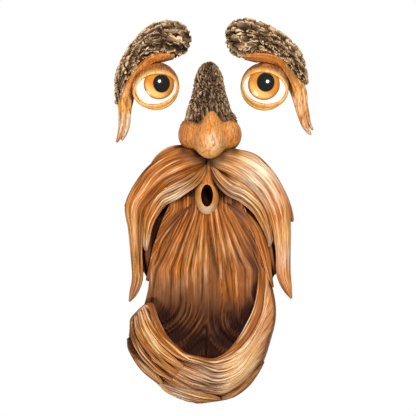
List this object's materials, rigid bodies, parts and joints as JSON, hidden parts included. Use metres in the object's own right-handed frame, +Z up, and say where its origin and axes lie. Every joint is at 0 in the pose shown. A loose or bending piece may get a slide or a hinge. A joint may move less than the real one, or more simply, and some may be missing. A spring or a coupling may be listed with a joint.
{
  "type": "tree face bird feeder",
  "caption": "Old-man face for a tree trunk: bark-browed eyes, and a nose with moustache and a beard that curls out into a seed bowl.",
  "frame": {"origin": "on the flat back of the beard casting, 64 mm below the top of the moustache and behind the beard just under the mouth", "axes": "+Z up the trunk, the face looks along -Y, +Y into the tree, +X to the viewer's right"},
  "size_m": [0.201, 0.09, 0.3883],
  "materials": {
    "beard_resin": "satin",
    "eye_resin": "satin"
  },
  "bodies": {
    "root": {"beard_casting": "beard_resin", "left_eye": "eye_resin", "right_eye": "eye_resin"}
  },
  "joints": []
}
